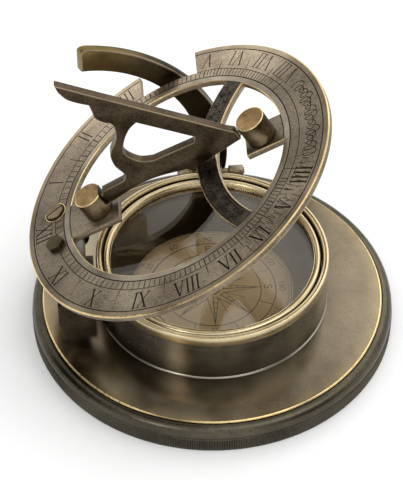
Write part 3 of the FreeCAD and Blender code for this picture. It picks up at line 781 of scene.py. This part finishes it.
def make_ring():
    low = -DIAL_THICK
    corners = [(DIAL_BORE, low, 0.25, 1), (DIAL, low, 0.3, 1), (DIAL, 0, 0.45, 1), (DIAL_BORE, 0, 0.3, 1)]
    materials = ["dial", "edge", "groove"]
    ring = lathe("hour_ring_face", round_corners(corners, 3), materials, 288)

    def box_loop(left, bottom, right, top):
        return [Vector(p) for p in ((left, bottom), (right, bottom), (right, top), (left, top))]

    lugs = [((-DIAL_BORE - 1.5, -7.5, -20.5, 7.5), 0), ((25.2, -5.5, DIAL_BORE + 1.5, 6.2), 1)]
    for corners, number in lugs:
        lug = slab(f"lug_{number}", box_loop(*corners), [], low + 0.001, 0, 0.28,
                   ["dial", "gold" if number else "soft_edge"])
        combine(ring, lug, "UNION")
    section = round_corners([(BAND_INNER, low + 0.002, 0.2, 1), (BAND_OUTER, low + 0.002, 0.2, 1),
                             (BAND_OUTER, -0.001, 0.28, 1), (BAND_INNER, -0.001, 0.42, 3)], 2)
    band = lathe("band", section, materials + ["gold"], 90, centre=BAND_CENTRE,
                 span=(math.radians(134), math.radians(222)))
    combine(ring, band, "UNION")
    begin, finish = (math.degrees(math.acos(x / NOTCH_FLOOR)) for x in (NOTCH_RIGHT, NOTCH_LEFT))
    notch_line = arc_line(NOTCH_FLOOR, begin, finish, steps=30)
    notch_line[0].x, notch_line[-1].x = NOTCH_RIGHT, NOTCH_LEFT
    notch_loop = notch_line + [Vector((NOTCH_LEFT, NOTCH_BEYOND)), Vector((NOTCH_RIGHT, NOTCH_BEYOND))]
    notch = slab("notch_tool", notch_loop, [], low - 1, 1, 0.02, ["soft_edge"], edge=0)
    combine(ring, notch)
    engrave_dial(ring)
    finish_zones(ring)
    ring.data.transform(DIAL_PLACE)
    tidy_mesh(ring, 30)
    return settle(ring, "dial", "dial_brass", "hour_ring")


# ---------------------------------------------------------------- gnomon and arc

def make_gnomon():
    left, right = GNOMON_LEFT, GNOMON_RIGHT
    outline = smooth_line([(-11.8, 52.5), (23.6, 8.8)], 4)
    outline += [(23.6, 8.8), (right, 7.0), (right, 3.6), (8.4, 0.6), (7.2, -1.4)]
    outline += smooth_line([(5.1, 1.4), (-3.0, 3.3), (-9.7, 3.8), (-15.4, 3.0), (-21.3, 1.9)])
    outline += [(-21.3, 1.9), (left, 2.4), (left, 4.6), (left + 1.2, 7.2)]
    outline += smooth_line([(-14.2, 7.7), (-12.4, 9.8), (-13.1, 14.9), (-11.6, 20.0), (-7.2, 24.2),
                            (-5.1, 28.6), (-5.3, 30.7), (-6.7, 32.0), (-8.1, 34.9), (-7.7, 37.1),
                            (-7.0, 40.4)])
    outline += smooth_line([(-7.0, 40.4), (-9.5, 43.1), (-11.5, 46.1), (-12.2, 49.8)])
    outline += [(-12.2, 49.8)]
    opening = smooth_line([(1.6, 26.7), (13.8, 12.0)], 4)
    opening += [(13.8, 12.0), (12.3, 10.1)]
    opening += smooth_line([(-1.7, 10.3), (-5.6, 12.4), (-7.8, 17.6), (-5.4, 22.0), (-1.6, 25.4),
                            (1.6, 26.7)])
    loops = [[Vector(p) for p in loop] for loop in (outline, opening)]
    plate = slab("gnomon_plate", loops[0], [loops[1]], -GNOMON_HALF, GNOMON_HALF, 0.3,
                 ["gnomon", "soft_edge", "style"], DIAL_PLACE, lambda u, v, w: (u, w, v), wall=2)
    return settle(plate, "style", "gnomon_brass", "gnomon")


def dial_rod(radius, start, stop, height):
    """A plain cutter along the dial's own x axis."""
    section = [(0, 0, 0), (radius, 0, 0), (radius, stop - start, 0), (0, stop - start, 0)]
    turn = Matrix.Translation((start * MM, 0, height * MM)) @ Matrix.Rotation(math.pi / 2, 4, "Y")
    return lathe("rod_tool", section, ["groove"], 48, turn)


def make_post(side, x, height, cuts):
    """A round knob riveted through its lug; cuts are (radius, start, stop) along the trunnion line."""
    # The rounded foot of the knob takes the dark groove finish, so the knob is darker where it stands on
    # the dial.
    corners = [(0, -2.9, 0, 0), (3.175, -2.9, 0.25, 0), (3.175, -2.2, 0, 0), (2.375, -2.2, 0, 0),
               (2.375, 0, 0, 0), (POST, 0, 0.3, 1), (POST, height, 0.32, 2), (POST - 0.34, height, 0, 3),
               (0, height, 0, 0)]
    knob = lathe(f"{side}_knob", round_corners(corners), ["knob", "groove", "gold", "knob_top"], 96,
                 Matrix.Translation((x * MM, 0, 0)), sharp=50)
    for radius, start, stop in cuts:
        combine(knob, dial_rod(radius, start, stop, AXIS_H))
    knob.data.transform(DIAL_PLACE)
    tidy_mesh(knob, 50)
    return settle(knob, "dial", "knob_brass", f"{side}_post")


def make_screw_rim():
    """The burr of bright metal thrown up round the slotted screw."""
    section = round_corners([(3.5, -0.1, 0, 0), (3.78, -0.1, 0, 0), (3.78, 0.1, 0.06, 0),
                             (3.5, 0.1, 0.06, 0)], 3)
    place = DIAL_PLACE @ Matrix.Translation((SLOTTED[0] * MM, SLOTTED[1] * MM, 0))
    rim = lathe("screw_burr", section, ["gold"], 64, place)
    return settle(rim, "dial", "screw_brass")


def make_arc():
    lines = []
    for (x, z, radius), foot in ((ARC_OUTER, ARC_FOOT_OUTER), (ARC_INNER, ARC_FOOT_INNER)):
        low = math.degrees(math.asin((foot - z) / radius))
        high = math.degrees(math.acos((ARC_END - x) / radius))
        start, stop = (high, low) if lines else (low, high)
        lines.append(arc_line(radius, start, stop, (x, z), 60))
    outer, inner = lines
    corner = outer[-1]
    outer = [p for p in outer if (p - corner).length > ARC_CORNER]
    begin, finish = outer[-1], corner.lerp(inner[0], ARC_CORNER / (inner[0] - corner).length)
    for k in range(1, 8):
        share = k / 7
        outer.append(begin.lerp(corner, share).lerp(corner.lerp(finish, share), share))

    def stand(u, v, w):
        """The free end is filed back towards the near side."""
        share = min(1.0, max(0.0, (-35.0 - u) / 5.0))
        return u + share * (0.6 - 0.55 * (w - ARC_NEAR)), w, v

    finishes = ["arc", "soft_edge"]
    blade = slab("blade", outer + inner, [], ARC_NEAR, ARC_NEAR + ARC_THICK, 0.45, finishes, stand=stand)
    link = [Vector(p) for p in ((STAY_Y, STAY_Z - KNUCKLE), (ARC_NEAR + 1, STAY_Z - KNUCKLE),
                                (ARC_NEAR + 1, STAY_Z + KNUCKLE), (STAY_Y, STAY_Z + KNUCKLE))]
    arm = slab("arm", link, [], KNUCKLE_LEFT, KNUCKLE_RIGHT, 0.2, finishes, stand=lambda u, v, w: (w, u, v))
    section = round_corners([(1.15, KNUCKLE_LEFT, 0, 0), (KNUCKLE, KNUCKLE_LEFT, 0.2, 1),
                             (KNUCKLE, KNUCKLE_RIGHT, 0.2, 1), (1.15, KNUCKLE_RIGHT, 0, 0)], 2)
    turn = Matrix.Translation((0, STAY_Y * MM, STAY_Z * MM)) @ Matrix.Rotation(math.pi / 2, 4, "Y")
    barrel = lathe("barrel", section, finishes, 48, turn)
    piece = merge("latitude_blade", [blade, arm, barrel])
    tidy_mesh(piece, 35)
    return settle(piece, "arc", "arc_brass", "latitude_arc")


# ---------------------------------------------------------------- compass card

def ribbon(line, width, low, high, end_width=None, closed=False):
    """Points and faces of a thin flat strip standing a little above the paper."""
    points, faces = [], []
    count = len(line)
    for i, spot in enumerate(line):
        before = line[i - 1] if i or closed else spot
        after = line[(i + 1) % count] if i < count - 1 or closed else spot
        along = (after - before).normalized()
        side = Vector((-along.y, along.x))
        half = (width + ((end_width or width) - width) * i / max(1, count - 1)) / 2
        for offset, z in ((-half, low), (half, low), (half, high), (-half, high)):
            points.append((spot.x + side.x * offset, spot.y + side.y * offset, z))
    for i in range(count if closed else count - 1):
        k = (i + 1) % count
        faces += [(4 * i + a, 4 * k + a, 4 * k + (a + 1) % 4, 4 * i + (a + 1) % 4) for a in range(4)]
    if not closed:
        faces += [(0, 1, 2, 3), tuple(4 * (count - 1) + a for a in (3, 2, 1, 0))]
    return points, faces


STROKES = {
    "N": [[(0, 0), (0, 1)], [(0, 1), (0.7, 0)], [(0.7, 0), (0.7, 1)]],
    "E": [[(0.6, 0), (0, 0), (0, 1), (0.6, 1)], [(0, 0.5), (0.5, 0.5)]],
    "S": [[(0.6, 0.84), (0.45, 0.98), (0.2, 1), (0.03, 0.85), (0.05, 0.65), (0.3, 0.53), (0.56, 0.42),
           (0.62, 0.2), (0.45, 0.02), (0.18, 0), (0, 0.16)]],
    "W": [[(0, 1), (0.25, 0), (0.45, 0.8), (0.65, 0), (0.9, 1)]],
    "0": [[(0.3, 1), (0.06, 0.8), (0, 0.5), (0.06, 0.2), (0.3, 0), (0.54, 0.2), (0.6, 0.5), (0.54, 0.8),
           (0.3, 1)]],
    "1": [[(0.1, 0.8), (0.3, 1), (0.3, 0)]],
    "2": [[(0.03, 0.78), (0.2, 1), (0.45, 0.98), (0.56, 0.75), (0.4, 0.45), (0, 0), (0.6, 0)]],
    "3": [[(0.05, 0.9), (0.3, 1), (0.52, 0.82), (0.4, 0.56), (0.2, 0.52)],
          [(0.4, 0.52), (0.58, 0.3), (0.45, 0.05), (0.2, 0), (0, 0.14)]],
    "4": [[(0.45, 0), (0.45, 1), (0, 0.32), (0.62, 0.32)]],
    "5": [[(0.55, 1), (0.1, 1), (0.05, 0.55), (0.35, 0.6), (0.58, 0.36), (0.45, 0.06), (0.2, 0),
           (0, 0.12)]],
    "6": [[(0.5, 0.95), (0.2, 0.8), (0.03, 0.4), (0.12, 0.06), (0.4, 0.02), (0.57, 0.26), (0.42, 0.5),
           (0.1, 0.42)]],
    "7": [[(0, 1), (0.6, 1), (0.22, 0)]],
    "8": [[(0.3, 0.53), (0.08, 0.75), (0.3, 1), (0.52, 0.75), (0.3, 0.53), (0.02, 0.25), (0.3, 0),
           (0.58, 0.25), (0.32, 0.53)]],
    "9": [[(0.1, 0.05), (0.4, 0.2), (0.57, 0.6), (0.48, 0.94), (0.2, 0.98), (0.03, 0.74), (0.18, 0.5),
           (0.5, 0.58)]],
}


def make_card():
    """Printed card: S lies towards +X, and the marks are thin raised ink on the paper."""
    section = [(CARD_HOLE, CARD_BOTTOM, 0), (CARD_RADIUS, CARD_BOTTOM, 0), (CARD_RADIUS, CARD_TOP, 0),
               (CARD_HOLE, CARD_TOP, 0)]
    paper_disc = lathe("paper", section, ["card"], 192)
    points, faces = [], []

    def ink(line, width, end_width=None, closed=False):
        made, sides = ribbon(line, width, CARD_TOP - 0.02, CARD_TOP + 0.03, end_width, closed)
        start = len(points)
        points.extend(made)
        faces.extend(tuple(start + i for i in face) for face in sides)

    def write(text, radius, angle, size, weight):
        """Letters with their heads outwards."""
        up = face_spot(1, angle)
        right = Vector((up.y, -up.x))
        total = 0.78 * size * len(text) - 0.15 * size
        for i, letter in enumerate(text):
            origin = up * radius + right * (0.78 * size * i - total / 2) - up * size / 2
            for line in STROKES[letter]:
                ink([origin + right * u * size + up * v * size for u, v in line], weight)

    for radius, width in ((16.3, 0.32), (21.2, 0.4), (26.5, 0.25), (25.6, 0.14)):
        ink(arc_line(radius, 0, 360, steps=180)[:-1], width, closed=True)
    for k, letter in enumerate("SENW"):
        write(letter, 18.7, 90 * k, 2.5, 0.42)
    for k in range(36):
        angle = 10 * k
        ink([face_spot(25.6, angle), face_spot(26.5, angle)], 0.2)
        ink([face_spot(25.9, angle + 5), face_spot(26.5, angle + 5)], 0.12)
        if k % 3 == 0:
            write(str((180 - angle) % 360), 23.3, angle, 2.0, 0.26)
    for k in range(16):
        angle = 22.5 * k
        reach = 16.2 if k % 2 == 0 else 12.0
        ink([face_spot(3.4, angle), face_spot(reach, angle)], 0.28 if k % 2 == 0 else 0.16)
    for k in range(8):
        angle = 45 * k + 22.5
        ink([face_spot(16.5, angle), face_spot(21.0, angle)], 0.3 if k % 2 else 0.14)
    for k in range(8):
        tip, side = face_spot(15.6, 45 * k), 45 * k + 22.5
        root = face_spot(4.6, side)
        ink([root, tip], 0.2)
        ink([face_spot(4.6, 45 * k - 22.5), tip], 0.2)
        tip_near = tip * 0.97
        inner = face_spot(4.8, side)
        for step in range(5):
            a = inner.lerp(tip_near, step / 5)
            b = face_spot(3.6, 45 * k).lerp(tip_near, step / 5)
            ink([a, b], 0.22)
    print_layer = mesh_object("print", points, faces, [0] * len(faces), ["ink"])
    card = merge("printed_card", [paper_disc, print_layer])
    card.data.shade_flat()
    return settle(card, "card", "card_paper", "compass_card")


# ---------------------------------------------------------------- CAD pieces shown as they are

def dress(node, key, edge="soft_edge", width=0.25):
    """A CAD node with its finish, and its sharp edges eased and rubbed bright."""
    obj = NODES[node]
    obj.data.materials.clear()
    for name in (key, edge):
        obj.data.materials.append(MAT[name])
    if width:
        weld = obj.modifiers.new("weld", "WELD")
        weld.merge_threshold = 1e-6
        bevel = obj.modifiers.new("eased", "BEVEL")
        bevel.width = width * MM
        bevel.segments = 2
        bevel.limit_method = "ANGLE"
        bevel.angle_limit = math.radians(40)
        bevel.material = 1
        bevel.harden_normals = True
    return obj


def dress_nodes():
    dress("bottom_cover", "rim", width=0)
    dress("cover_screws", "screw", width=0)
    dress("glass", "glass", "glass", 0)
    dress("card_cap", "bright", width=0.1)
    dress("card_magnet", "steel", width=0.1)
    dress("pivot_needle", "steel", width=0)
    dress("hinge_block", "hinge", width=0.35)
    dress("hinge_block_screws", "screw", width=0.15)
    dress("hinge_pin", "screw", width=0.2)
    dress("hinge_leaf", "gnomon", width=0.3)
    dress("slotted_leaf_screw", "screw", "edge", 0.22)
    dress("hexagon_leaf_screw", "gnomon", width=0.3)
    dress("gnomon_trunnions", "screw", width=0)
    dress("arc_bracket", "bracket", width=0.3)
    dress("arc_hinge_pin", "screw", width=0.1)
    dress("arc_bracket_screws", "screw", width=0.15)


# ---------------------------------------------------------------- studio

def aim(obj, target):
    obj.rotation_euler = (Vector(target) - obj.location).to_track_quat("-Z", "Y").to_euler()


def lamp(name, spot, target, size, power):
    light = bpy.data.lights.new(name, "AREA")
    light.shape = "RECTANGLE"
    light.size, light.size_y = size
    light.energy = power
    obj = bpy.data.objects.new(name, light)
    obj.location = spot
    bpy.context.scene.collection.objects.link(obj)
    aim(obj, target)


def flag(name, spot, target, size, strength):
    """A card, darker or brighter than the room, that only reflections see."""
    mesh = bpy.data.meshes.new(name)
    w, h = size[0] / 2, size[1] / 2
    mesh.from_pydata([(-w, -h, 0), (w, -h, 0), (w, h, 0), (-w, h, 0)], [], [(0, 1, 2, 3)])
    mat = bpy.data.materials.new(name)
    mat.use_nodes = True
    glow = mat.node_tree.nodes.new("ShaderNodeEmission")
    glow.inputs[0].default_value = (*(strength,) * 3, 1)
    out = mat.node_tree.nodes["Material Output"]
    mat.node_tree.links.new(glow.outputs[0], out.inputs[0])
    mesh.materials.append(mat)
    obj = bpy.data.objects.new(name, mesh)
    obj.location = spot
    bpy.context.scene.collection.objects.link(obj)
    aim(obj, target)
    for kind in ("camera", "diffuse", "shadow", "transmission", "volume_scatter"):
        setattr(obj, "visible_" + kind, False)


def make_studio():
    scene = bpy.context.scene
    scene.view_settings.view_transform = "Standard"
    world = bpy.data.worlds.new("studio")
    world.use_nodes = True
    world.node_tree.nodes["Background"].inputs[0].default_value = (1, 1, 1, 1)
    world.node_tree.nodes["Background"].inputs[1].default_value = 1.0
    scene.world = world
    mesh = bpy.data.meshes.new("floor")
    mesh.from_pydata([(-3, -3, 0), (3, -3, 0), (3, 3, 0), (-3, 3, 0)], [], [(0, 1, 2, 3)])
    surface = Shader("floor_white", Roughness=0.9)
    surface.skin.inputs["Base Color"].default_value = (0.97, 0.97, 0.97, 1)
    mesh.materials.append(surface.mat)
    floor = bpy.data.objects.new("floor", mesh)
    scene.collection.objects.link(floor)
    middle = (0, 0, 0.04)
    flag("dark_left", (-0.85, -0.15, 0.5), middle, (0.9, 0.8), 0.12)
    flag("dark_right", (0.75, -0.55, 0.55), middle, (0.7, 0.7), 0.12)
    flag("bright_front", (-0.44, -0.55, 0.74), middle, (0.2, 0.3), 7.0)
    lamp("key_light", (0.35, -0.15, 0.75), middle, (0.5, 0.5), 1.2)
    lamp("back_light", (0.35, 0.45, 0.5), middle, (0.45, 0.35), 0.8)


def make_camera():
    """From the near side, looking well down."""
    scene = bpy.context.scene
    data = bpy.data.cameras.new("camera")
    data.sensor_width = 36
    data.lens = 150.4
    data.clip_start, data.clip_end = 0.01, 20
    camera = bpy.data.objects.new("camera", data)
    scene.collection.objects.link(camera)
    azimuth, elevation, distance = math.radians(-4), math.radians(45.5), 0.6499
    back = Vector((math.sin(azimuth) * math.cos(elevation), -math.cos(azimuth) * math.cos(elevation),
                   math.sin(elevation)))
    right = Vector((math.cos(azimuth), math.sin(azimuth), 0))
    target = right * -0.00354 + Vector((0, 0, 0.03393))
    camera.location = target + back * distance
    camera.rotation_euler = (-back).to_track_quat("-Z", "Y").to_euler()
    scene.camera = camera


make_camera()
make_studio()
make_rim()
make_flange()
make_case()
make_bezel()
make_card()
make_ring()
make_gnomon()
make_post("left", -27.4, 7.5, [(3.4, -23.5, -19.7), (0.95, -26.4, -18.4)])
make_post("right", 31.0, 8.5, [(0.95, 20.6, 28.6)])
make_screw_rim()
make_arc()
dress_nodes()
